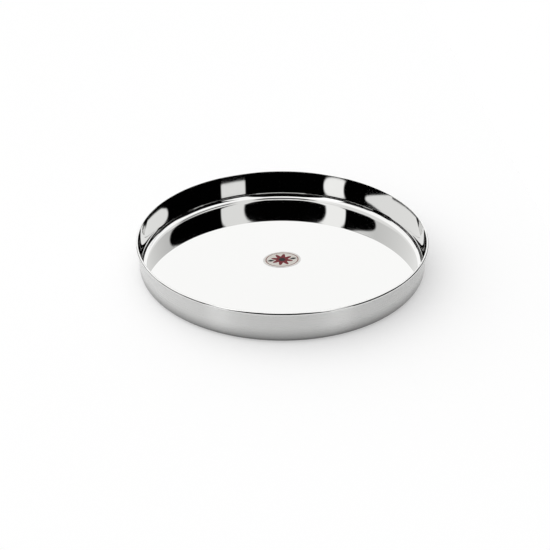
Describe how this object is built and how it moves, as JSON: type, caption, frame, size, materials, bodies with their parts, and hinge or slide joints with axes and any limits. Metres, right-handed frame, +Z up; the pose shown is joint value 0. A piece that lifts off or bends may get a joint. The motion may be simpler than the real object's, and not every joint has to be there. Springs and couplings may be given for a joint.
{
  "type": "thali plate",
  "caption": "Round mirror-polished steel thali plate with a flat base, an upright wall and an outward rolled rim, for serving a whole meal.",
  "frame": {"origin": "centre of the underside, on the plane that the plate stands on", "axes": "+Z up along the plate's axis, +Y away from the viewer of the picture, +X to their right"},
  "size_m": [0.3, 0.3, 0.034],
  "materials": {
    "polished_steel": "stainless steel sheet, mirror polished",
    "label_glue": "clear acrylic adhesive coat",
    "label_foil": "silvered film, printed and varnished"
  },
  "bodies": {
    "root": {"thali_body": "polished_steel", "label_adhesive": "label_glue", "label_face": "label_foil"}
  },
  "joints": []
}
